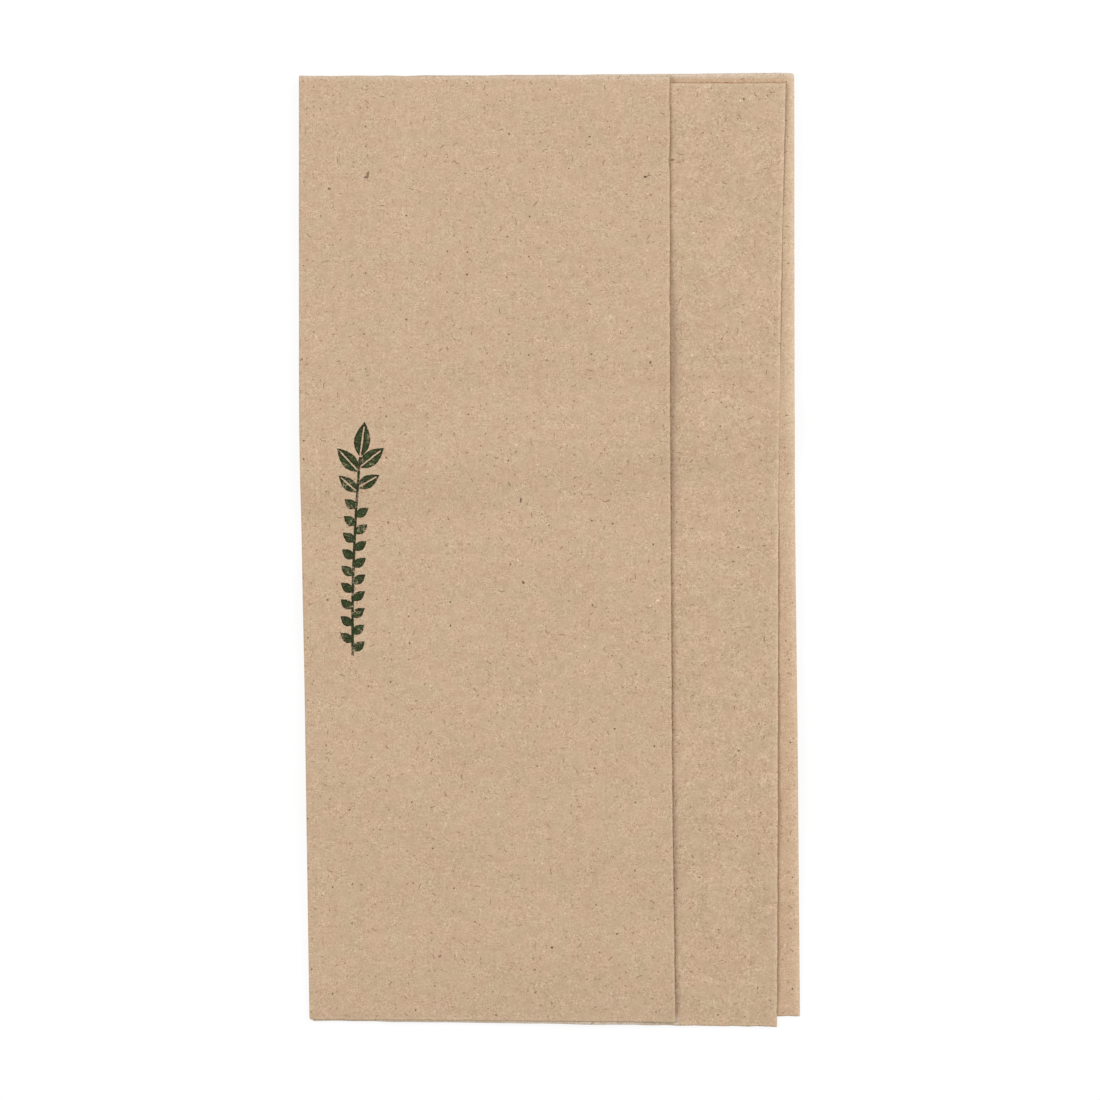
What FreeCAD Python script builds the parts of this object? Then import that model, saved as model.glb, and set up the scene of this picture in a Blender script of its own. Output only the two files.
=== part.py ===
import FreeCAD, Part
import math
import os

from FreeCAD import Vector

# A paper napkin: one cut sheet of crinkled tissue, folded twice lengthwise into a tall narrow
# packet of four layers. It lies flat with its front up. X runs across the folds, Y along them,
# and Z up. Lengths are in millimetres and angles in degrees.

# The sheet
sheet_length = 178.0  # cut length, along the folds
paper = 0.15  # thickness, crinkles included

# Widths at the top end, each from the outside of the left fold
rear_width = 93.4  # to the outside of the right fold
second_flap_width = 91.8  # to its cut edge
top_flap_width = 70.1  # to its cut edge

# Air between the layers, from the bottom up
rear_gap = 0.4  # inside the soft right fold
inner_gap = 0.2  # inside the inner left fold
top_gap = 0.3  # under the loose top flap
fold_inset = 0.4  # the inner left fold lies this far inside the outer one

# The packet was once bent across. Above that soft bend the left fold runs along Y.
bend_from_top = 69.6
left_fold_lean = 1.1  # leans are to the right going down, here below the bend
right_fold_leans = (0.13, 0.5)  # above the bend, below it
second_edge_leans = (-0.95, -0.2)
top_edge_leans = (0.05, 0.53)

# The folds are a little out of true, so each layer's cut ends turn by an angle of their own
rear_turn = 0.37  # positive where the ends rise to the right
second_flap_turn = -0.8
top_flap_turn = -0.12

# Heights of the layers' undersides
rear_outer_z = 0.0
rear_inner_z = rear_outer_z + paper + rear_gap
second_flap_z = rear_inner_z + paper + inner_gap
top_flap_z = second_flap_z + paper + top_gap

# Outer radii of the bends, each as high as the layers that it joins
left_radius = (top_flap_z + paper - rear_outer_z) / 2
right_radius = (rear_inner_z + paper - rear_outer_z) / 2


def slope(degrees):
    return math.tan(math.radians(degrees))


def end_corner(bend_point, lean, start, turn):
    """Where a long line meets a cut end.

    The long line goes through bend_point and leans; the end goes through start and turns.
    """
    across = -slope(lean)
    rise = slope(turn)
    line_x = bend_point.x - across * bend_point.y
    y = (start.y + rise * (line_x - start.x)) / (1 - rise * across)
    return Vector(line_x + across * y, y, 0)


def long_line(top_x, leans, start, turn):
    """The three points of a fold or a cut edge: at the top end, at the bend and at the bottom end.

    start is the line whose end points the cut ends run out from, and turn is their angle.
    """
    upper_lean, lower_lean = leans
    bend_point = Vector(top_x + slope(upper_lean) * bend_from_top, -bend_from_top, 0)
    return (
        end_corner(bend_point, upper_lean, start[0], turn),
        bend_point,
        end_corner(bend_point, lower_lean, start[2], turn),
    )


def layer(left, right, z):
    """A flat layer of paper between two long lines, its underside at z."""
    corners = [left[0], right[0], right[1], right[2], left[2], left[1], left[0]]
    outline = Part.makePolygon([Vector(p.x, p.y, z) for p in corners])
    return Part.Face(outline).extrude(Vector(0, 0, paper))


def bend_section(point, side, lower_z, upper_z):
    """The half ring that joins two layers, with its flat ends over the point of a fold."""
    outer = (upper_z + paper - lower_z) / 2
    inner = outer - paper
    middle_z = lower_z + outer

    def at(across, up):
        return Vector(point.x + side * across, point.y, middle_z + up)

    outside = Part.Arc(at(0, -outer), at(outer, 0), at(0, outer)).toShape()
    upper_end = Part.makeLine(at(0, outer), at(0, inner))
    inside = Part.Arc(at(0, inner), at(inner, 0), at(0, -inner)).toShape()
    lower_end = Part.makeLine(at(0, -inner), at(0, -outer))
    return Part.Face(Part.Wire([outside, upper_end, inside, lower_end]))


def bend(fold, side, lower_z, upper_z):
    """The paper that turns over at a fold, on its left (side -1) or its right (side 1)."""
    return [
        bend_section(a, side, lower_z, upper_z).extrude(b - a)
        for a, b in zip(fold, fold[1:])
    ]


# Where the flat layers stop and the bends begin, and the two cut edges
left_x = left_radius
left_bottom_x = left_x + slope(left_fold_lean) * (sheet_length - bend_from_top)
left_fold = (
    Vector(left_x, 0, 0),
    Vector(left_x, -bend_from_top, 0),
    Vector(left_bottom_x, -sheet_length, 0),
)
inner_left_fold = long_line(left_x + fold_inset, (0, left_fold_lean), left_fold, rear_turn)
right_fold = long_line(rear_width - right_radius, right_fold_leans, left_fold, rear_turn)
second_edge = long_line(
    second_flap_width, second_edge_leans, inner_left_fold, second_flap_turn
)
top_edge = long_line(top_flap_width, top_edge_leans, left_fold, top_flap_turn)

# The sheet, from the second flap's cut edge round to the top flap's
pieces = [
    layer(inner_left_fold, second_edge, second_flap_z),
    *bend(inner_left_fold, -1, rear_inner_z, second_flap_z),
    layer(inner_left_fold, right_fold, rear_inner_z),
    *bend(right_fold, 1, rear_outer_z, rear_inner_z),
    layer(left_fold, right_fold, rear_outer_z),
    *bend(left_fold, -1, rear_outer_z, top_flap_z),
    layer(left_fold, top_edge, top_flap_z),
]
napkin = pieces[0].multiFuse(pieces[1:]).removeSplitter()

# The origin is under the middle of the packet
box = napkin.BoundBox
napkin.translate(Vector(-box.Center.x, -box.Center.y, -box.ZMin))

os.makedirs("parts", exist_ok=True)
napkin.exportStep("parts/napkin.step")
print("solids", len(napkin.Solids), "valid", napkin.isValid(), "volume", round(napkin.Volume, 1))
print("size", round(box.XLength, 2), round(box.YLength, 2), round(box.ZLength, 2))
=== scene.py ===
import math

import bpy
import numpy as np
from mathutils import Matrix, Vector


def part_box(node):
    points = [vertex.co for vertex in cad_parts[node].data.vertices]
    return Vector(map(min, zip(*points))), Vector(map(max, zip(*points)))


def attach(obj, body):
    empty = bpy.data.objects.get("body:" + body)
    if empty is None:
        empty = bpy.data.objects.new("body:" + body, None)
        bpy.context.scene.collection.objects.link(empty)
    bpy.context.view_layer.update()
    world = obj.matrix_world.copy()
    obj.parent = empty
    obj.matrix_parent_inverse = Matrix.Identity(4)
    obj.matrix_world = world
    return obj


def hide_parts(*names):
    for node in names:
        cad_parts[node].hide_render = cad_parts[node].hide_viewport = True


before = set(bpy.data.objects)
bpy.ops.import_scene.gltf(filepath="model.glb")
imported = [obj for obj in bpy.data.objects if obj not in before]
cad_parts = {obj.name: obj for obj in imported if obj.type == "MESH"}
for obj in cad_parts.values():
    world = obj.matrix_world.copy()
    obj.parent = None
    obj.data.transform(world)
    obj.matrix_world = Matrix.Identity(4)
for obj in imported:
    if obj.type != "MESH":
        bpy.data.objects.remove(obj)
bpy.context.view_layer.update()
print("frame loaded")

mm = 0.001

# The sheet and its folds, in millimetres and degrees. A long line is a few corners (down, across), taken
# from the left fold's top end. A softly rounded line runs through them.
folding = {
    "length": 178.0,  # cut length, along the folds
    "paper": 0.15,
    "lineSoftness": 4.0,
    "leftFold": ((0, 0), (67, 0), (80, 0.34), (118, 1.1), (178, 1.95)),
    "rightFold": ((0, 93.44), (62, 93.5), (92, 93.66), (118, 94.0), (178, 94.56)),
    "secondEdge": ((0, 91.82), (30, 91.12), (52, 90.75), (80, 90.4), (178, 90.17)),
    "topEdge": ((0, 69.86), (60, 69.93), (137, 70.38), (178, 70.97)),
    "rearTurn": 0.41,  # the cut ends rise to the right by these angles
    "secondTurn": -0.76,
    "topTurns": (-0.14, -0.42),  # the top flap's two ends aren't quite parallel
    "secondDrop": 0.2,  # the inner left fold lies this much further down
    "rearBows": (0.1, 0.0),  # how far the middle of a layer's cut ends bows down, at its top and bottom
    "secondBows": (0.42, 0.0),
    "topBows": (-0.06, 0.0),
    "bowReach": 20.0,
    "topSlack": 0.1,  # the rear layer's highest corner may stand this much above the solid's
    "foldInset": 0.5,  # the inner left fold lies inside the outer one
    "leftReach": 0.4,  # how far each bend reaches out from the flat layers
    "innerReach": 0.3,
    "rightReach": 1.7,
}

# Corners of the folded packet that are worn round: the fold, which end, and the size across and down
wornCorners = (
    ("right", 0, 2.0, 0.55),
    ("left", 0, 0.35, 0.25),
    ("left", 1, 0.5, 0.5),
)
cornerFade = 3.0  # how far down the sheet a worn corner shifts the rows

# How the layers lie: the air between them and where they rise, in millimetres
lie = {
    "height": 0.7,  # of the shape that all layers share, before the packet is set down on the table
    "rearGap": (0.4, 0.25, 30, 0.06),  # air: its mean, how uneven it is, over what length, and its least
    "innerGap": (0.2, 0.3, 26, 0.04),
    "topGap": (0.3, 0.25, 24, 0.05),
    "rightFoldSpring": 0.5,  # the soft right fold springs open by this much more
    "rightFoldReach": 5.0,
    "topPress": 0.7,  # share of the air that is pressed out at the top and the bottom end
    "bottomPress": 0.95,
    "endPressReach": 5.0,
    "bendHeight": 1.15,  # the soft bend across the packet: a ridge, then a valley
    "bendWidth": 7.0,
    "bendDown": 78.5,
    "bendSlant": -0.113,
    "bendPivot": 26.6,
    "dipHeight": 0.32,
    "dipWidth": 4.0,
    "dipDown": 56.5,
    "topEndRise": 0.5,  # the top end curls up a little, and the bottom end lies flatter
    "topEndFrom": (30, -10),
    "bottomEndDrop": 0.5,
    "bottomEndFrom": (45, -5),
    "wave": 0.12,
    "waveLength": 38.0,
    "crinkle": 0.008,
    "crinkleLength": 3.5,
    "topLiftStart": 0.88,  # share of the top flap's width at which it starts to rise to its edge
    "topLifts": (
        (0, 0.05), (14, 0.12), (32, 0.26), (54, 1.0), (72, 0.4),
        (95, 0.32), (140, 0.3), (168, 0.35), (176, 0.6), (178, 0.4),
    ),
    "secondLiftStart": 0.86,
    "secondLifts": ((0, 0.06), (50, -0.1), (75, -0.1), (95, 0.1), (120, 0.22), (172, 0.28), (178, 0.1)),
    "secondTopLift": 0.45,  # the second flap's top end stands off the rear at the right
    "secondTopDown": (16, 0),
    "secondTopAcross": (50, 72),
    "edgeCurl": 0.04,  # the cut edges turn down at the very end
    "edgeCurlReach": 0.33,
    "cutThinness": 0.5,  # share of the thickness that the cut edges have lost, and how far in that reaches
    "cutThinReach": 0.35,
    "ragged": 0.03,  # unevenness of the cut edges
    "raggedLengths": (4.5, 1.8),
    "raggedFine": 0.7,  # share of the shorter of the two
    "raggedReach": 0.7,
    "nick": 0.13,  # a small nick in the top flap's edge
    "nickDown": 15.6,
    "nickWidth": 0.9,
}

# Rows down the sheet, more of them in a band at each end, and columns of each segment. The columns crowd
# towards the cut edges and the right fold by the powers.
gridShape = {
    "rows": 205,
    "endRows": 8,
    "endBand": 2.5,
    "second": 46,
    "inner": 8,
    "rearInner": 28,
    "right": 18,
    "rearOuter": 30,
    "left": 12,
    "top": 60,
    "secondPower": 2.0,
    "rearPower": 2.2,
    "topPower": 1.7,
}

# Where the sheet lies in the map for baking: u at the ends of its layers and bends, v at its two ends, and
# the slots of its four cut edges. The strip and the flap are what shows of the rear layer and the second
# flap, in millimetres.
bakeRoom = {
    "strip": 6,
    "flap": 25,
    "front": (0.004, 0.05, 0.09, 0.15, 0.44, 0.452, 0.822),
    "back": (0.832, 0.968, 0.976, 0.982),
    "down": (0.988, 0.012),
    "top": (0.9915, 0.9965),
    "bottom": (0.0035, 0.0085),
    "last": (0.993, 0.998),
    "first": (0.985, 0.99),
}


# A soft random field with about unit spread: the sum of cosine waves that run in random directions with
# random phases, all near one wave length.
def softField(x, down, waveLength, seed, waves=28):
    random = np.random.default_rng(seed)
    turn = random.uniform(0, 2 * np.pi, waves)
    pace = 2 * np.pi / (waveLength * random.uniform(0.6, 1.7, waves))
    phase = random.uniform(0, 2 * np.pi, waves)
    field = np.zeros(np.shape(x))
    for k in range(waves):
        field += np.cos(pace[k] * (x * np.cos(turn[k]) + down * np.sin(turn[k])) + phase[k])
    return field * math.sqrt(2 / waves)


# A smooth step from 0 at start to 1 at end: 3t^2 - 2t^3 of the share t of the way.
def easeBetween(value, start, end):
    t = np.clip((value - start) / (end - start), 0, 1)
    return t * t * (3 - 2 * t)


# A smooth curve through (place, height) knots: from each knot to the next, an eased step between heights.
def throughKnots(place, knots):
    height = np.full(np.shape(place), float(knots[0][1]))
    for (start, low), (end, high) in zip(knots, knots[1:]):
        height += (high - low) * easeBetween(place, start, end)
    return height


# A long fold or cut edge: across as a function of down. It starts with its first slope, and log(1 + exp)
# turns it softly to the next slope at each inner corner.
def longLine(down, corners):
    places, acrosses = np.array(corners, float).T
    slopes = np.diff(acrosses) / np.diff(places)
    soft = folding["lineSoftness"]
    across = acrosses[0] + slopes[0] * (down - places[0])
    for place, change in zip(places[1:-1], np.diff(slopes)):
        across = across + change * soft * np.log1p(np.exp((down - place) / soft))
    return across


# Where the rows that leave start at a layer's turn meet a long line, which is shifted across. Found in two
# rounds: across is the line at down, and down is the row's start less tan(turn) times the way across.
def rowsMeet(start, corners, turn, shift=0.0):
    down = start[:, 1]
    for _ in range(2):
        x = longLine(down, corners) + shift
        down = start[:, 1] - np.tan(np.radians(turn)) * (x - start[:, 0])
    return np.stack([x, down], axis=1)


# A flat layer in plan: straight rows between two long lines, share 0 to 1 of the way.
def ruled(start, end, shares):
    s = shares[None, :, None]
    return start[:, None] * (1 - s) + end[:, None] * s


# Shares from 0 to 1 that crowd towards 1 by a power, or gently towards both ends by a cosine.
def crowdedEnd(count, power):
    return 1 - (1 - np.linspace(0, 1, count)) ** power


def crowdedEnds(count):
    even = np.linspace(0, 1, count)
    return 0.6 * (1 - np.cos(np.pi * even)) / 2 + 0.4 * even


# The shape that all layers share: at the soft bend a ridge and then a valley, -q exp(-q^2), a like small
# dip above it, slow waves, and the rise and the drop of the two ends.
def packetShape(x, down):
    q = (down - lie["bendDown"] - lie["bendSlant"] * (x - lie["bendPivot"])) / lie["bendWidth"]
    bend = -lie["bendHeight"] * q * np.exp(-q * q)
    q = (down - lie["dipDown"]) / lie["dipWidth"]
    dip = -lie["dipHeight"] * q * np.exp(-q * q)
    waves = lie["wave"] * softField(x, down, lie["waveLength"], 3)
    ends = lie["topEndRise"] * easeBetween(down, *lie["topEndFrom"])
    ends -= lie["bottomEndDrop"] * easeBetween(down, *(folding["length"] - b for b in lie["bottomEndFrom"]))
    return bend + dip + waves + ends + lie["height"]


# The air under a layer: a mean that varies slowly and may have more added, times the share of the air that
# is left there, and no less than a least.
def airGap(name, seed, x, down, left, more=0.0):
    mean, uneven, waveLength, least = lie[name]
    gap = mean * (1 + uneven * softField(x, down, waveLength, seed)) + more
    return np.maximum(gap * left, least)


# The height of each layer's middle above the table, from the bottom layer up: the shared shape, then a
# sheet's thickness and the air under it for every layer more.
def layerHeights(x, down):
    thick = folding["paper"]
    rearOuter = thick / 2 + np.maximum(packetShape(x, down), 0)
    rightX = longLine(down, folding["rightFold"])
    spring = lie["rightFoldSpring"] * np.exp(-(((rightX - x) / lie["rightFoldReach"]) ** 2))
    fromBottom = np.maximum(folding["length"] - down, 0)
    left = 1 - lie["topPress"] * np.exp(-np.maximum(down, 0) / lie["endPressReach"])
    left -= lie["bottomPress"] * np.exp(-fromBottom / lie["endPressReach"])
    topLift = lie["secondTopLift"] * easeBetween(down, *lie["secondTopDown"])
    topLift = topLift * easeBetween(x, *lie["secondTopAcross"])
    rearInner = rearOuter + thick + airGap("rearGap", 5, x, down, left, spring)
    second = rearInner + thick + airGap("innerGap", 7, x, down, left) + topLift
    top = second + thick + airGap("topGap", 9, x, down, left)
    return rearOuter, rearInner, second, top


# The rise of a flap: nothing until late in its width, then eased up to its lift at the cut edge, where the
# last bit turns down again by exp(-distance / reach).
def flapRise(share, down, away, start, lifts):
    curl = lie["edgeCurl"] * np.exp(-away / lie["edgeCurlReach"])
    return easeBetween(share, start, 1.0) * throughKnots(down, lifts) - curl


# A half ellipse that carries the sheet round a fold, from one layer's height to the next one's. across is
# the reach times the cosine of an angle, height the middle plus half the step times its sine.
def bendSegment(line, side, reach, fromHeight, toHeight, count):
    angle = np.linspace(-np.pi / 2, np.pi / 2, count)[None, :]
    middle, half = (fromHeight + toHeight) / 2, (toHeight - fromHeight) / 2
    x = line[:, 0, None] + side * reach * np.cos(angle)
    down = np.repeat(line[:, 1, None], count, axis=1)
    return np.stack([x, down, middle[:, None] + half[:, None] * np.sin(angle)], axis=2)


# The middle of the folded sheet as a grid: rows down the packet, columns from the second flap's cut edge
# round to the top flap's. Also gives the rows' shares of the length and each segment's last column.
def foldedSheet():
    f, g = folding, gridShape
    band = g["endBand"] / f["length"]
    rowShares = np.concatenate([
        np.linspace(0, band, g["endRows"])[:-1],
        np.linspace(band, 1 - band, g["rows"]),
        np.linspace(1 - band, 1, g["endRows"])[1:],
    ])
    leftDown = rowShares * f["length"]
    leftShift = f["paper"] / 2 + f["leftReach"]
    left = np.stack([longLine(leftDown, f["leftFold"]) + leftShift, leftDown], axis=1)
    inner = rowsMeet(left, f["leftFold"], f["rearTurn"], leftShift + f["foldInset"]) + (0, f["secondDrop"])
    right = rowsMeet(left, f["rightFold"], f["rearTurn"], -f["paper"] / 2 - f["rightReach"])
    secondEdge = rowsMeet(inner, f["secondEdge"], f["secondTurn"])
    topTurn = f["topTurns"][0] + (f["topTurns"][1] - f["topTurns"][0]) * rowShares
    topEdge = rowsMeet(left, f["topEdge"], topTurn)

    # A layer in plan, with its ends bowed by a sine that fades down the sheet, at its height
    def layer(start, end, shares, level, bows, backwards=False, flap=None):
        plan = ruled(start, end, shares)
        bow = bows[0] * np.exp(-leftDown / f["bowReach"])
        bow += bows[1] * np.exp((leftDown - f["length"]) / f["bowReach"])
        plan[:, :, 1] += bow[:, None] * np.sin(np.pi * shares)
        x, down = plan[:, :, 0], plan[:, :, 1]
        height = layerHeights(x, down)[level]
        if flap:
            height = height + flapRise(shares[None, :], down, x[:, -1:] - x, *flap)
        grid = np.dstack([plan, height])
        return grid[:, ::-1] if backwards else grid

    shares, lifts = crowdedEnd(g["second"], g["secondPower"]), (lie["secondLiftStart"], lie["secondLifts"])
    second = layer(inner, secondEdge, shares, 2, f["secondBows"], True, lifts)
    rearInner = layer(inner, right, crowdedEnd(g["rearInner"], g["rearPower"]), 1, f["rearBows"])
    rearOuter = layer(left, right, crowdedEnds(g["rearOuter"]), 0, f["rearBows"], True)
    shares, lifts = crowdedEnd(g["top"], g["topPower"]), (lie["topLiftStart"], lie["topLifts"])
    top = layer(left, topEdge, shares, 3, f["topBows"], False, lifts)
    innerBend = bendSegment(inner, -1, f["innerReach"], second[:, -1, 2], rearInner[:, 0, 2], g["inner"])
    rightBend = bendSegment(right, 1, f["rightReach"], rearInner[:, -1, 2], rearOuter[:, 0, 2], g["right"])
    leftBend = bendSegment(left, -1, f["leftReach"], rearOuter[:, -1, 2], top[:, 0, 2], g["left"])
    segments = [second, innerBend, rearInner, rightBend, rearOuter, leftBend, top]
    whole = np.concatenate([segments[0]] + [s[:, 1:] for s in segments[1:]], axis=1)
    stops = np.cumsum([segments[0].shape[1]] + [s.shape[1] - 1 for s in segments[1:]]) - 1
    return whole, rowShares, stops


# Unevenness of the cut edges: the outermost rows and columns shift outwards or inwards by a fine field
# of the way along them, which fades within a millimetre of the edge. The top flap has one nick.
def raggedEdges(grid, flat):
    along, down = flat[:, :, 0], flat[:, :, 1]
    width, length, reach = along.max(), folding["length"], lie["raggedReach"]
    barely = 0.02  # the field hardly changes away from the edge

    # A coarse field and a finer one on top
    def field(x, y, seed):
        coarse, fine = lie["raggedLengths"]
        return softField(x, y, coarse, seed) + lie["raggedFine"] * softField(x, y, fine, seed + 1)

    fromEnds = np.exp(-down / reach) + np.exp(-(length - down) / reach)
    fromSides = np.exp(-along / reach) + np.exp(-(width - along) / reach)
    grid[:, :, 1] += lie["ragged"] * field(along, down * barely, 21) * fromEnds
    grid[:, :, 0] += lie["ragged"] * field(along * barely, down, 23) * fromSides
    nick = lie["nick"] * np.exp(-(((down - lie["nickDown"]) / lie["nickWidth"]) ** 2))
    grid[:, :, 0] -= nick * np.exp(-(width - along) / reach)
    return grid


# Wears the folded corners round: near the end of a fold the rows move towards the packet's middle by a
# quarter ellipse of the way out to the fold, and the shift fades down the sheet.
def roundCorners(grid):
    x, down = grid[:, :, 0], grid[:, :, 1].copy()
    for fold, end, across, depth in wornCorners:
        line = longLine(down, folding[fold + "Fold"])
        inwards = line - x if fold == "right" else x - line
        share = np.clip(1 - inwards / across, 0, 1)
        away = down - down[0] if end == 0 else down[-1] - down
        shift = depth * (1 - np.sqrt(1 - share**2)) * np.exp(-away / cornerFade)
        grid[:, :, 1] += shift if end == 0 else -shift
    return grid


# Unit normals of a grid surface: the cross product of its differences along the columns and the rows.
def gridNormals(points):
    normal = np.cross(np.gradient(points, axis=1), np.gradient(points, axis=0))
    return normal / np.linalg.norm(normal, axis=2, keepdims=True)


# How far each point lies outside the flap that covers its layer, in millimetres: past the flap's cut edge
# or above its top end or below its bottom end, whichever is most. Layers that no flap covers are far away.
def coverAway(grid, stops):
    farAway = 30.0
    away = np.full(grid.shape[:2], farAway)

    # For the layers in these columns, under a flap whose ends are its first and last row
    def outside(columns, flap, edge):
        x, down = grid[:, columns, 0], grid[:, columns, 1]
        order = np.argsort(flap[0, :, 0])
        top = np.interp(x, flap[0, order, 0], flap[0, order, 1])
        bottom = np.interp(x, flap[-1, order, 0], flap[-1, order, 1])
        away[:, columns] = np.maximum(x - edge, np.maximum(top - down, down - bottom))

    outside(slice(0, stops[1]), grid[:, stops[5]:], grid[:, -1:, 0])
    outside(slice(stops[1], stops[3]), grid[:, :stops[0] + 1], grid[:, :1, 0])
    return away


# The map that the sheet's colours can be baked through, one place per corner of its faces. u is a broken line
# of the way along each side, which gives most room to what shows, and v is the way up. The thin faces of
# the cut edges come last, and each edge has a slot of its own.
def bakeMap(place, shape, ends):
    along, down, side = place.T
    rows, columns = shape
    front = (0, ends[0], ends[2] - bakeRoom["strip"], *ends[3:])
    back = (0, bakeRoom["flap"], *ends[5:])
    onFront, onBack = np.interp(along, front, bakeRoom["front"]), np.interp(along, back, bakeRoom["back"])
    u = np.where(side < 1, onFront, onBack)
    v = np.interp(down, (0, folding["length"]), bakeRoom["down"])
    start = 8 * (rows - 1) * (columns - 1)
    for edge, count in (("top", columns), ("bottom", columns), ("last", rows), ("first", rows)):
        part = slice(start, start + 4 * (count - 1))
        slot = np.where(side[part] < 1, *bakeRoom[edge])
        if count == columns:
            u[part] = onFront[part]
            v[part] = slot
        else:
            u[part] = slot
        start = part.stop
    return np.column_stack([u, v])


# The napkin's mesh. Each point of the middle surface is put half a thickness along its normal to both sides,
# and faces along the four cut edges close the two sides up. Nothing of it lies below the table.
def makeNapkin():
    grid, rowShares, stops = foldedSheet()
    away = coverAway(grid, stops)
    steps = np.linalg.norm(np.diff(grid, axis=1), axis=2).mean(axis=0)
    along = np.concatenate([[0], np.cumsum(steps)])
    flat = np.dstack(np.meshgrid(along, rowShares * folding["length"]))
    grid = roundCorners(raggedEdges(grid, flat))
    grid[:, :, 2] += lie["crinkle"] * softField(flat[:, :, 0], flat[:, :, 1], lie["crinkleLength"], 31)

    low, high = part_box("napkin")
    rise = math.tan(math.radians(folding["rearTurn"])) * folding["rightFold"][0][1] - folding["topSlack"]
    points = np.empty_like(grid)
    points[:, :, 0] = low[0] + grid[:, :, 0] * mm
    points[:, :, 1] = high[1] - rise * mm - grid[:, :, 1] * mm
    points[:, :, 2] = grid[:, :, 2] * mm
    fromCut = np.minimum(
        np.minimum(flat[:, :, 0], along[-1] - flat[:, :, 0]),
        np.minimum(flat[:, :, 1], folding["length"] - flat[:, :, 1]),
    )
    thin = 1 - lie["cutThinness"] * np.exp(-fromCut / lie["cutThinReach"])
    half = gridNormals(points) * folding["paper"] * mm / 2 * thin[:, :, None]
    front, back = points - half, points + half
    lowest = min(front[:, :, 2].min(), back[:, :, 2].min())
    vertices = np.concatenate([front.reshape(-1, 3), back.reshape(-1, 3)])
    vertices[:, 2] -= lowest

    rows, columns = grid.shape[:2]
    ids = np.arange(rows * columns).reshape(rows, columns)
    under = ids + rows * columns

    # Four-cornered faces from four equal arrays of corners
    def strip(a, b, c, d):
        return np.stack([a.ravel(), b.ravel(), c.ravel(), d.ravel()], axis=1)

    sides = np.concatenate([
        strip(ids[:-1, :-1], ids[1:, :-1], ids[1:, 1:], ids[:-1, 1:]),
        strip(under[:-1, :-1], under[:-1, 1:], under[1:, 1:], under[1:, :-1]),
    ])
    rims = np.concatenate([
        strip(ids[0, :-1], ids[0, 1:], under[0, 1:], under[0, :-1]),
        strip(ids[-1, 1:], ids[-1, :-1], under[-1, :-1], under[-1, 1:]),
        strip(ids[:-1, -1], ids[1:, -1], under[1:, -1], under[:-1, -1]),
        strip(ids[1:, 0], ids[:-1, 0], under[:-1, 0], under[1:, 0]),
    ])
    faces = np.concatenate([sides, rims])

    mesh = bpy.data.meshes.new("napkinSheet")
    mesh.vertices.add(len(vertices))
    mesh.vertices.foreach_set("co", vertices.ravel())
    mesh.loops.add(faces.size)
    mesh.loops.foreach_set("vertex_index", faces.ravel())
    mesh.polygons.add(len(faces))
    mesh.polygons.foreach_set("loop_start", np.arange(0, faces.size, 4))
    mesh.update(calc_edges=True)
    mesh.polygons.foreach_set("use_smooth", np.arange(len(faces)) < len(sides))

    # Where each corner is on the flat sheet, in millimetres: along, down, and which side it is on
    flatPoints = np.concatenate([flat.reshape(-1, 2), flat.reshape(-1, 2)])
    side = np.concatenate([np.zeros(rows * columns), np.full(rows * columns, backSide)])
    place = np.column_stack([flatPoints, side])[faces.ravel()]
    attribute = mesh.attributes.new("sheetPlace", "FLOAT_VECTOR", "CORNER")
    attribute.data.foreach_set("vector", place.ravel())
    bakeUv = mesh.uv_layers.new(name="OFBake")
    bakeUv.data.foreach_set("uv", bakeMap(place, grid.shape[:2], along[stops]).ravel())
    attribute = mesh.attributes.new("coverAway", "FLOAT", "CORNER")
    attribute.data.foreach_set("value", np.concatenate([away.ravel()] * 2)[faces.ravel()])
    mesh.validate()

    napkin = bpy.data.objects.new("napkinSheet", mesh)
    bpy.context.scene.collection.objects.link(napkin)
    print("napkin", rows, "rows", columns, "columns", len(faces) * 2, "triangles")
    places = {
        "width": along[-1],
        "leftFold": along[stops[5]] - folding["paper"] / 2 - folding["leftReach"],
        "rightFold": (along[stops[2]] + along[stops[3]]) / 2,
    }
    return napkin, places


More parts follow.
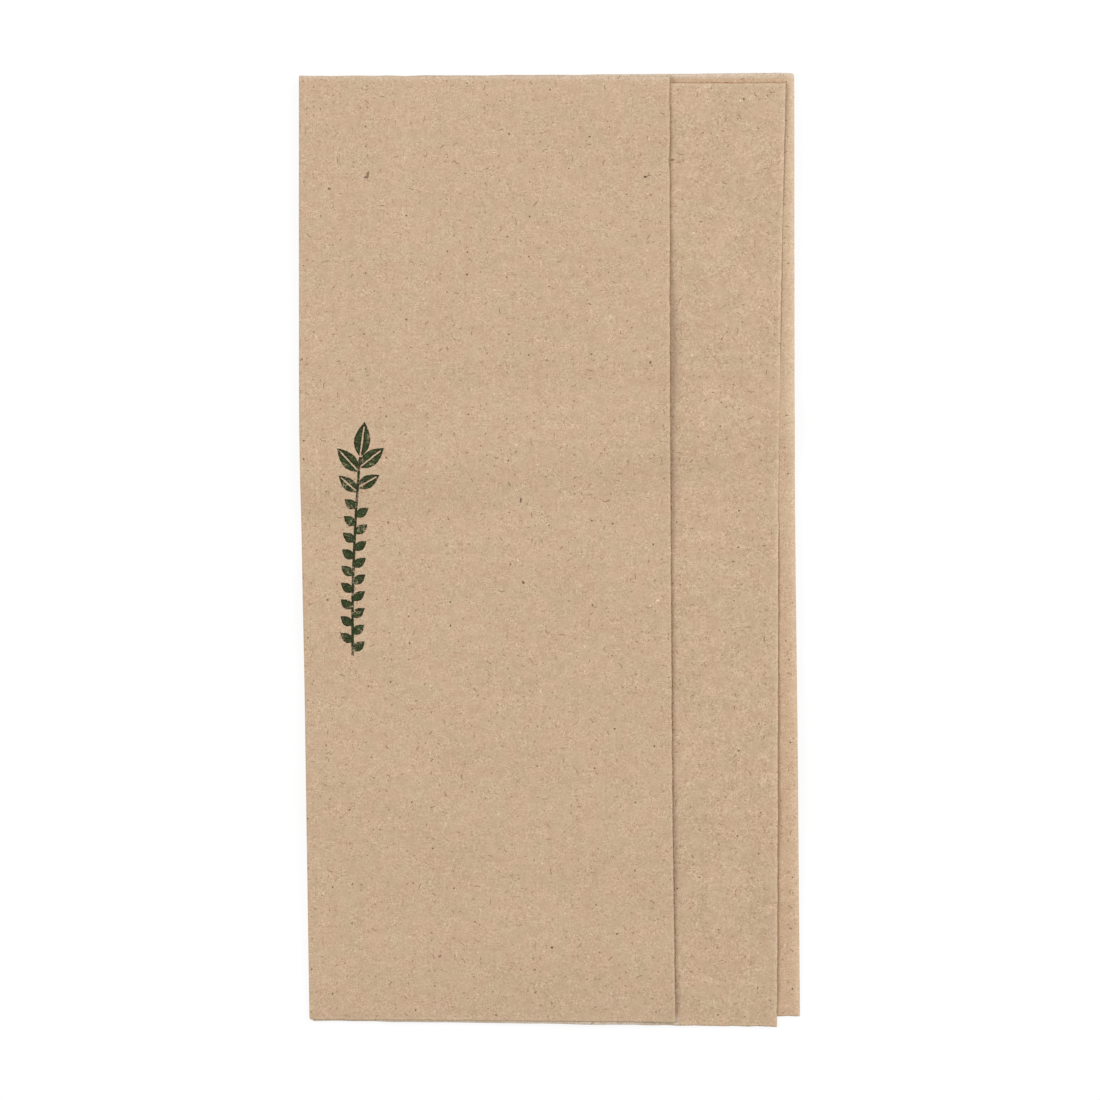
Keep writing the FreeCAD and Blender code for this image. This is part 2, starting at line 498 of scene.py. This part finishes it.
# A shader socket whose operators add Math nodes, so that a mask reads as ordinary arithmetic.
class Wire:
    def __init__(self, tree, socket=None):
        self.tree = tree
        self.socket = socket

    # Adds a node, sets its settings and then its sockets, each to a value or a link, and gives one output
    def node(self, kind, settings=None, sockets=None, output=0):
        made = self.tree.nodes.new(kind)
        for name, value in (settings or {}).items():
            setattr(made, name, value)
        for name, value in (sockets or {}).items():
            if isinstance(value, Wire):
                self.tree.links.new(value.socket, made.inputs[name])
            else:
                made.inputs[name].default_value = value
        return Wire(self.tree, made.outputs[output] if len(made.outputs) else None)

    # Another output of the node that this wire leaves
    def out(self, name):
        return Wire(self.tree, self.socket.node.outputs[name])

    def maths(self, operation, *values):
        return self.node("ShaderNodeMath", {"operation": operation}, dict(enumerate(values)))

    def __add__(self, other):
        return self.maths("ADD", self, other)

    def __radd__(self, other):
        return self.maths("ADD", other, self)

    def __sub__(self, other):
        return self.maths("SUBTRACT", self, other)

    def __rsub__(self, other):
        return self.maths("SUBTRACT", other, self)

    def __mul__(self, other):
        return self.maths("MULTIPLY", self, other)

    def __rmul__(self, other):
        return self.maths("MULTIPLY", other, self)

    def __truediv__(self, other):
        return self.maths("DIVIDE", self, other)

    def __abs__(self):
        return self.maths("ABSOLUTE", self)

    def sine(self):
        return self.maths("SINE", self)

    def cosine(self):
        return self.maths("COSINE", self)

    def floor(self):
        return self.maths("FLOOR", self)

    def root(self):
        return self.maths("SQRT", self)

    def most(self, other):
        return self.maths("MAXIMUM", self, other)

    def least(self, other):
        return self.maths("MINIMUM", self, other)

    # 0 below start, 1 above end and a smooth step between
    def ease(self, start, end):
        sockets = {"Value": self, "From Min": start, "From Max": end}
        return self.node("ShaderNodeMapRange", {"interpolation_type": "SMOOTHSTEP"}, sockets)

    # Blends two colours by this factor
    def blend(self, first, second):
        return self.node("ShaderNodeMix", {"data_type": "RGBA"}, {0: self, 6: first, 7: second}, 2)


# A colour in linear light from the levels 0 to 255 of a display: ((s + 0.055) / 1.055)^2.4 of the share s,
# and s / 12.92 where it is very dark.
def srgb(red, green, blue):
    def linear(level):
        share = level / 255
        return share / 12.92 if share <= 0.04045 else ((share + 0.055) / 1.055) ** 2.4

    return (linear(red), linear(green), linear(blue), 1.0)


backSide = 7.0  # third coordinate of sheetPlace on the side that only the second flap shows; the other has 0

# The noises, all about 0: cells to a millimetre, detail and roughness
noises = {
    "grain": (4.4, 1.0, 0.5),
    "middleGrain": (1.9, 1.0, 0.5),
    "patches": (0.3, 1.0, 0.5),
    "formation": (0.6, 2.0, 0.5),
    "cloud": (0.12, 2.0, 0.5),
    "hue": (0.22, 1.0, 0.5),
    "relief": (1.8, 3.0, 0.6),
    "paintedShadowPlace": (2.0, 1.0, 0.5),
    "paintedShadowStrength": (1.4, 1.0, 0.5),
    "inkEdge": (1.6, 2.0, 0.5),
    "inkEdgeFine": (5.0, 0.0, 0.5),
    "inkCrack": (0.9, 3.0, 0.6),
    "inkCrackPlace": (0.5, 0.0, 0.5),
    "inkDepth": (1.1, 2.0, 0.6),
}

# The paper: fine grain, the softer clouds of its formation, and fibres and specks of other pulp. Shares are
# from 0 to 1 and lengths in millimetres. Two numbers for a place are where it starts and where it ends.
tissue = {
    "paper": srgb(202.3, 176, 145.5),
    "grain": 0.82,
    "middleGrain": 0.5,
    "formation": 0.33,
    "cloud": 0.12,
    "patchiness": 2.4,  # how unevenly the grain is spread
    "grainHue": (0.8, 1.0, 1.17),  # it is stronger in blue, so that its light parts are paler
    "ruddy": srgb(204.3, 175, 146.5),  # the paper turns from one to the other by soft patches
    "hueStep": 0.12,
    "fibre": srgb(140, 104, 72),
    "fibreShare": 0.7,
    "dirt": srgb(70, 50, 38),
    "dirtShare": 0.85,
    "lint": srgb(236, 220, 198),
    "lintShare": 0.8,
    "longFibres": (0.36, 0.13, 0.8, 0.5),  # cells to a millimetre, half width, half length, share of cells
    "shortFibres": (0.8, 0.15, 0.3, 0.36),
    "dirtFibres": (0.26, 0.18, 0.26, 0.4),
    "lintFibres": (0.24, 0.14, 0.35, 0.3),
    "fibreBend": 1.2,
    "foldHighlight": srgb(238, 213, 182),  # painted highlight where the right fold's rounded outer side turns to the light
    "foldHighlightReach": 2.6,
    "foldHighlightShare": 0.85,
    "foldHighlightFade": 0.15,  # share of it that is lost further down
    "foldHighlightFadeDown": (55.0, 100.0),
    "cutHighlight": 0.07,  # painted highlight: the pale rims along the cut edges
    "cutHighlightReach": 0.6,
    "secondCutHighlight": 0.08,  # and a stronger painted highlight along the second flap's
    "secondCutHighlightReach": 1.1,
    "endHighlight": srgb(228, 216, 200),  # painted highlight on the top end's pale rim, where it faces the light; also the painted light on the ledge
    "topEndHighlightShares": (0.4, 0.16, 0.06),  # on the rear layer, the top flap and the second flap
    "topEndHighlightDown": (0.3, 1.2),
    "ledgeLightShare": 0.5,  # painted light on the second flap beside the top flap's bottom end, lifting the shade there
    "ledgeLightReach": (0.3, 1.0),
    "ledgeLightUp": (2.4, 1.4),
    "rear": srgb(228, 174, 132),  # a warmer tint of the rear layer
    "rearShares": (0.03, 0.13),  # at its top and further down
    "rearDown": (60.0, 110.0),
    "paintedShadow": srgb(146, 98, 8),  # painted shadow: the dark line beside the top flap's edge, on the layer under it, where the flap's edge shades it
    "secondPaintedShadow": srgb(166, 112, 54),  # and the painted shadow beside the second flap's
    "paintedShadowAway": 0.18,
    "paintedShadowReach": (0.02, 0.12),
    "paintedShadowWander": 0.3,
    "paintedShadowPatches": 4.5,
    "topPaintedShadowShare": 0.54,  # strength of the painted shadow beside the top flap
    "topPaintedShadowFirst": 0.55,  # the share of that which it has at first
    "topPaintedShadowDown": (42.0, 75.0),
    "topPaintedShadowEnd": (172.0, 176.0),
    "sidePaintedShadowShare": 0.14,  # the painted shadow's strength beside the second flap, and how much more above its top end
    "endPaintedShadowShare": 0.4,
    "endPaintedShadowDown": (2.0, 4.0),
    "roughness": 0.92,
    "shine": 0.2,
    "bump": 0.05,
    "bumpStrength": 0.5,
}

# Single specks on the top flap: across from the left fold, down from the top end, half length, half width,
# angle from across, and strength, which is negative for a pale one
topSpecks = (
    (12.9, 18.7, 0.8, 0.26, 80, 0.75),
    (12.45, 19.1, 0.24, 0.22, 0, 0.9),
    (5.7, 21.3, 0.26, 0.24, 0, 0.85),
    (65.0, 18.85, 0.3, 0.24, 10, 1.0),
    (44.4, 24.0, 0.75, 0.12, 50, 0.6),
    (5.1, 35.0, 0.9, 0.14, 8, 0.4),
    (65.9, 53.8, 0.32, 0.2, 75, 0.85),
    (36.9, 71.9, 0.36, 0.24, 0, 0.4),
    (39.3, 76.8, 0.5, 0.15, -60, 0.6),
    (41.4, 79.8, 0.5, 0.2, 85, 0.85),
    (41.7, 95.3, 0.32, 0.25, -60, 0.9),
    (3.5, 133.5, 0.6, 0.14, -30, 0.4),
    (46.3, 164.0, 0.26, 0.24, 0, 1.0),
    (25.0, 165.8, 0.42, 0.24, 35, 0.6),
    (67.0, 98.6, 0.45, 0.16, 15, -0.95),
    (58.5, 45.3, 0.5, 0.45, 0, -0.35),
)

# The same on the second flap, with the first length taken from its cut edge
secondSpecks = (
    (20.7, 14.6, 0.4, 0.17, 0, 0.8),
    (16.5, 51.5, 0.26, 0.22, 0, -0.9),
    (8.5, 90.3, 0.3, 0.2, 0, 0.6),
)

# The green print on the top flap beside the left fold: a plain leafy sprig. Lengths in millimetres, across
# from the fold and down from the top end.
sprig = {
    "ink": srgb(8, 26, 2),
    "thinInk": srgb(56, 82, 40),
    "foot": 109.2,
    "across": 9.3,  # at the foot
    "lean": 2.9,  # how far its head stands to the right of its foot
    "head": 65.0,
    "stem": 0.25,  # half width
    "pitch": 3.15,  # of the small leaves, which alternate on the two sides
    "smallFrom": 79.1,
    "smallCount": 9,
    "smallLength": 2.9,
    "smallWidth": 0.86,
    "smallAngle": 52,
    "smallPlace": 0.78,  # of a small leaf's foot in its pitch
    "rib": 0.13,
    "ribLength": 0.85,
    "bleed": 0.07,
    "edgeWander": 0.22,  # unevenness of the ink's edge, and a finer one
    "edgeWanderFine": 0.16,
    "specks": (0.16, 0.26),  # where the paper's grain shows through
    "speckShare": 0.6,
    "cracks": (0.006, 0.02),
    "crackPlaces": (0.02, 0.1),
    "crackShare": 0.75,
    "inkShare": 0.97,
    "thinDepth": (0.05, 0.4),  # the ink is thinner inside this far from its edge, more and less by patches
    "thinPatches": 2.4,
    "thinMean": 0.45,
}

# The large leaves of its head: down the stem to the leaf's foot, angle from straight up, length, half width
largeLeaves = (
    (71.8, 8, 6.7, 1.5),
    (73.8, 52, 6.0, 1.4),
    (74.6, -42, 6.0, 1.4),
    (77.6, 60, 4.8, 1.2),
    (78.4, -48, 4.6, 1.15),
)


# How deep a point is inside a leaf, in millimetres. forward and sideways are measured from the leaf's foot,
# and its half width is the width times 4t(1 - t)(1.25 - 0.5t) of the share t of its length.
def leafDepth(forward, sideways, length, width):
    t = (forward / length).least(2.0)
    return t * (1 - t) * (1.25 - t * 0.5) * (4 * width) - abs(sideways)


# The sprig's depth field: positive in the ink, negative outside it.
def sprigDepth(across, down):
    rise = (sprig["foot"] - down) / (sprig["foot"] - sprig["head"])
    aside = across - rise * rise * sprig["lean"] - sprig["across"]
    stem = (sprig["stem"] - abs(aside)).least(down - largeLeaves[0][0]).least(sprig["foot"] - down)

    # The small leaves repeat down the stem, half a pitch apart on its two sides
    step = (down - sprig["smallFrom"]) / sprig["pitch"] - aside.maths("GREATER_THAN", aside, 0.0) * 0.5
    number = step.floor()
    up = sprig["pitch"] * sprig["smallPlace"] - (step - number) * sprig["pitch"]
    turn = math.radians(sprig["smallAngle"])
    forward = abs(aside) * math.sin(turn) + up * math.cos(turn)
    sideways = abs(aside) * math.cos(turn) - up * math.sin(turn)
    small = leafDepth(forward, sideways, sprig["smallLength"], sprig["smallWidth"])

    # No small leaf above the first or below the last: there the depth is cut down far below 0
    steep, past = 9.0, 5.0
    small = small.least(number * steep + past).least(steep * sprig["smallCount"] - past - number * steep)
    depth = stem.most(small)

    for foot, angle, length, width in largeLeaves:
        turn = math.radians(angle)
        riseThere = (sprig["foot"] - foot) / (sprig["foot"] - sprig["head"])
        x = across - (sprig["across"] + sprig["lean"] * riseThere**2)
        up = foot - down
        forward = x * math.sin(turn) + up * math.cos(turn)
        sideways = x * math.cos(turn) - up * math.sin(turn)
        leaf = leafDepth(forward, sideways, length, width)
        rib = abs(sideways) - sprig["rib"] + (forward - length * sprig["ribLength"]).most(0.0)
        depth = depth.most(leaf.least(rib))
    return depth


# A speck's strength at a point: 1 within its oval, eased to 0 outside it.
def speckMask(across, down, speck):
    x, y, length, width, angle, strength = speck
    turn = math.radians(angle)
    right, up = across - x, y - down
    forward = (right * math.cos(turn) + up * math.sin(turn)) / length
    sideways = (right * -math.sin(turn) + up * math.cos(turn)) / width
    reach = (forward * forward + sideways * sideways).root()
    return (1 - reach.ease(0.6, 1.3)) * abs(strength)


# The tissue's material. The colour is the paper's, blended with each mark's colour by its mask in turn, and
# times a level about 1 that the grain and the painted highlights along the cut edges give, a little more in
# blue and less in red.
def tissueMaterial(places):
    material = bpy.data.materials.new("napkinTissue")
    material.use_nodes = True
    tree = material.node_tree
    tree.nodes.clear()
    start = Wire(tree)
    place = start.node("ShaderNodeAttribute", {"attribute_name": "sheetPlace"}, output="Vector")
    along = start.node("ShaderNodeSeparateXYZ", None, {0: place}, "X")
    down, side = along.out("Y"), along.out("Z")
    outside = 1 - side.ease(1.0, 2.0)
    across = along - places["leftFold"]
    pastCover = start.node("ShaderNodeAttribute", {"attribute_name": "coverAway"}, output="Fac")
    # A painted highlight: paler along the right fold's rounded outer side, a little less further down
    foldLight = 1 - (abs(along - places["rightFold"]) / tissue["foldHighlightReach"]).least(1.0)
    foldLight = foldLight * foldLight * outside * tissue["foldHighlightShare"]
    foldLight = foldLight * (1 - down.ease(*tissue["foldHighlightFadeDown"]) * tissue["foldHighlightFade"])
    fromCut = along.least(places["width"] - along).least(down).least(folding["length"] - down)
    cut = 1 - fromCut.ease(tissue["cutHighlightReach"] * 0.3, tissue["cutHighlightReach"])

    # Noise about 0, from about -0.5 to 0.5
    def noise(name):
        scale, detail, roughness = noises[name]
        sockets = {"Vector": place, "Scale": scale, "Detail": detail, "Roughness": roughness}
        return start.node("ShaderNodeTexNoise", None, sockets, "Fac") - 0.5

    fine = noise("grain")
    patches = 1 + noise("patches") * tissue["patchiness"]
    level = 1 + (fine * tissue["grain"] + noise("middleGrain") * tissue["middleGrain"]) * patches
    level = level + noise("formation") * tissue["formation"] + noise("cloud") * tissue["cloud"]
    # Painted highlights: the level is raised along the cut edges, and more along the second flap's
    level = level + cut * tissue["cutHighlight"]
    level = level + (1 - along.ease(0.1, tissue["secondCutHighlightReach"])) * tissue["secondCutHighlight"]

    # Short fibres: in each random cell a bent line through its point, with an angle, a length and a strength
    # of its own
    def fibres(scale, width, length, share):
        sockets = {"Vector": place, "Scale": scale}
        cell = start.node("ShaderNodeTexVoronoi", {"voronoi_dimensions": "2D"}, sockets, "Position")
        luck = start.node("ShaderNodeSeparateColor", None, {0: cell.out("Color")}, "Red")
        other = luck.out("Green")
        angle = luck.out("Blue") * (2 * math.pi)
        away = start.node("ShaderNodeVectorMath", {"operation": "SUBTRACT"}, {0: place, 1: cell})
        x = start.node("ShaderNodeSeparateXYZ", None, {0: away}, "X")
        y = x.out("Y")
        forward = abs(x * angle.cosine() + y * angle.sine())
        bent = y * angle.cosine() - x * angle.sine() + forward * forward * (other - 0.5) * tissue["fibreBend"]
        reach = other * (length * 0.75) + length * 0.25
        line = (1 - abs(bent).ease(width * 0.4, width)) * (1 - (forward / reach).ease(0.5, 1.1))
        return line * luck.ease(1 - share, 1.0)

    brown = fibres(*tissue["longFibres"])
    brown = brown.most(fibres(*tissue["shortFibres"]))
    dirt = fibres(*tissue["dirtFibres"])
    lint = fibres(*tissue["lintFibres"])
    marks = [(across, outside, speck) for speck in topSpecks]
    marks += [(along, 1 - outside, speck) for speck in secondSpecks]
    for x, face, speck in marks:
        mask = speckMask(x, down, speck) * face
        if speck[-1] > 0:
            dirt = dirt.most(mask)
        else:
            lint = lint.most(mask)

    colour = noise("hue").ease(-tissue["hueStep"], tissue["hueStep"]).blend(tissue["paper"], tissue["ruddy"])
    colour = foldLight.blend(colour, tissue["foldHighlight"])
    rear = outside * (1 - across.ease(-1.0, 0.0))
    high, low = tissue["rearShares"]
    colour = (rear * (down.ease(*tissue["rearDown"]) * (low - high) + high)).blend(colour, tissue["rear"])

    # A painted highlight on the top end's pale rim, and painted light on the ledge beside the top flap's
    # bottom end, where that end shades it
    onRear, onTop, onSecond = tissue["topEndHighlightShares"]
    endLight = rear * (onRear - onTop) + outside * (onTop - onSecond) + onSecond
    endLight = (1 - down.ease(*tissue["topEndHighlightDown"])) * endLight
    ledgeLight = down.ease(*(folding["length"] - up for up in tissue["ledgeLightUp"]))
    ledgeLight = (1 - abs(pastCover).ease(*tissue["ledgeLightReach"])) * ledgeLight
    endLight = endLight + ledgeLight * (1 - outside) * tissue["ledgeLightShare"]
    colour = endLight.blend(colour, tissue["endHighlight"])
    colour = (brown * tissue["fibreShare"]).blend(colour, tissue["fibre"])
    colour = (dirt * tissue["dirtShare"]).blend(colour, tissue["dirt"])
    colour = (lint * tissue["lintShare"]).blend(colour, tissue["lint"])

    # Painted shadow: the dark lines on the layers that the flaps cover, just past the flaps' edges, where
    # those edges shade them
    paintedShadow = pastCover + noise("paintedShadowPlace") * tissue["paintedShadowWander"] - tissue["paintedShadowAway"]
    paintedShadow = 1 - abs(paintedShadow).ease(*tissue["paintedShadowReach"])
    upper = tissue["sidePaintedShadowShare"] + (1 - down.ease(*tissue["endPaintedShadowDown"])) * tissue["endPaintedShadowShare"]
    first = tissue["topPaintedShadowFirst"]
    lower = tissue["topPaintedShadowShare"] * (first + down.ease(*tissue["topPaintedShadowDown"]) * (1 - first))
    lower = lower * (1 - down.ease(*tissue["topPaintedShadowEnd"]))
    strength = (1 - outside) * lower + outside * upper
    strength = strength * (1 + noise("paintedShadowStrength") * tissue["paintedShadowPatches"])
    shadowColour = outside.blend(tissue["paintedShadow"], tissue["secondPaintedShadow"])
    colour = (paintedShadow * strength).blend(colour, shadowColour)

    # The print, with bare specks and cracks and with thinner ink inside
    depth = sprigDepth(across, down)
    depth = depth + noise("inkEdge") * sprig["edgeWander"] + noise("inkEdgeFine") * sprig["edgeWanderFine"]
    crack = 1 - abs(noise("inkCrack")).ease(*sprig["cracks"])
    crack = crack * noise("inkCrackPlace").ease(*sprig["crackPlaces"])
    bare = (fine.ease(*sprig["specks"]) * sprig["speckShare"]).most(crack * sprig["crackShare"])
    inked = depth.ease(-sprig["bleed"], sprig["bleed"]) * (1 - bare) * outside
    thin = depth.ease(*sprig["thinDepth"]) * (noise("inkDepth") * sprig["thinPatches"] + sprig["thinMean"])
    ink = thin.blend(sprig["ink"], sprig["thinInk"])
    colour = (inked * sprig["inkShare"]).blend(colour, ink)

    shades = {k: 1 + (level - 1) * hue for k, hue in enumerate(tissue["grainHue"])}
    shade = start.node("ShaderNodeCombineColor", None, shades)
    settings = {"data_type": "RGBA", "blend_type": "MULTIPLY"}
    colour = start.node("ShaderNodeMix", settings, {0: 1.0, 6: colour, 7: shade}, 2)

    sockets = {"Strength": tissue["bumpStrength"], "Distance": tissue["bump"] * mm, "Height": noise("relief")}
    relief = start.node("ShaderNodeBump", None, sockets)
    sockets = {
        "Base Color": colour,
        "Roughness": tissue["roughness"],
        "Specular IOR Level": tissue["shine"],
        "Normal": relief,
    }
    surface = start.node("ShaderNodeBsdfPrincipled", None, sockets)
    start.node("ShaderNodeOutputMaterial", None, {"Surface": surface})
    print("tissue", len(tree.nodes), "nodes")
    return material


# The studio: a pale floor, an even sky, a soft key light from the top right and a softer one from the left
studio = {
    "floorHalf": 3.0,
    "floor": srgb(250, 250, 250),
    "floorGlow": 0.84,  # share of the floor that the camera sees as plain white
    "floorWhite": 1.03,  # strength of that white, which makes up for the rest of the floor
    "sky": 0.42,
    "key": {"place": (0.72, 0.50, 0.74), "power": 6.4, "size": 0.7},
    "fill": {"place": (-0.80, 0.05, 0.74), "power": 5.2, "size": 0.6},
    "cameraHeight": 1.2,
    "sensor": 36.0,
    "frameWidth": 0.20753,  # what the camera sees across, at the height of the packet's top
    "frameTop": 0.001,
    "frameCentre": (0.000104, -0.00005),
}


# The floor, the sky, the two lamps, which face the middle of the floor, and the camera straight above. Its
# lens is the sensor's width times the distance over the width that it sees.
def makeStudio():
    scene = bpy.context.scene
    half = studio["floorHalf"]
    corners = [(-half, -half, 0), (half, -half, 0), (half, half, 0), (-half, half, 0)]
    mesh = bpy.data.meshes.new("floor")
    mesh.from_pydata(corners, [], [(0, 1, 2, 3)])
    floor = bpy.data.objects.new("floor", mesh)
    scene.collection.objects.link(floor)
    material = bpy.data.materials.new("floorPaper")
    material.use_nodes = True
    material.node_tree.nodes.clear()
    start = Wire(material.node_tree)
    seen = start.node("ShaderNodeLightPath", output="Is Camera Ray")
    white = start.node("ShaderNodeEmission", None, {"Color": (1, 1, 1, 1), "Strength": studio["floorWhite"]})
    matt = start.node("ShaderNodeBsdfDiffuse", None, {"Color": studio["floor"]})
    both = start.node("ShaderNodeMixShader", None, {0: seen * studio["floorGlow"], 1: matt, 2: white})
    start.node("ShaderNodeOutputMaterial", None, {"Surface": both})
    mesh.materials.append(material)

    world = bpy.data.worlds.new("studio")
    world.use_nodes = True
    world.node_tree.nodes.clear()
    start = Wire(world.node_tree)
    seen = start.node("ShaderNodeLightPath", output="Is Camera Ray")
    strength = studio["sky"] + seen * (1 - studio["sky"])
    sky = start.node("ShaderNodeBackground", None, {"Color": (1, 1, 1, 1), "Strength": strength})
    start.node("ShaderNodeOutputWorld", None, {"Surface": sky})
    scene.world = world

    for name in ("key", "fill"):
        light = bpy.data.lights.new(name + "Light", "AREA")
        light.energy = studio[name]["power"]
        light.size = studio[name]["size"]
        lamp = bpy.data.objects.new(name + "Light", light)
        lamp.location = studio[name]["place"]
        lamp.rotation_euler = lamp.location.to_track_quat("Z", "Y").to_euler()
        scene.collection.objects.link(lamp)

    camera = bpy.data.cameras.new("camera")
    camera.sensor_fit = "HORIZONTAL"
    camera.sensor_width = studio["sensor"]
    camera.lens = studio["sensor"] * (studio["cameraHeight"] - studio["frameTop"]) / studio["frameWidth"]
    eye = bpy.data.objects.new("camera", camera)
    eye.location = (*studio["frameCentre"], studio["cameraHeight"])
    scene.collection.objects.link(eye)
    scene.camera = eye
    scene.view_settings.view_transform = "Standard"


napkin, places = makeNapkin()
napkin.data.materials.append(tissueMaterial(places))
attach(napkin, "root")
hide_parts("napkin")
places["width"] * mm
makeStudio()
print("studio made")
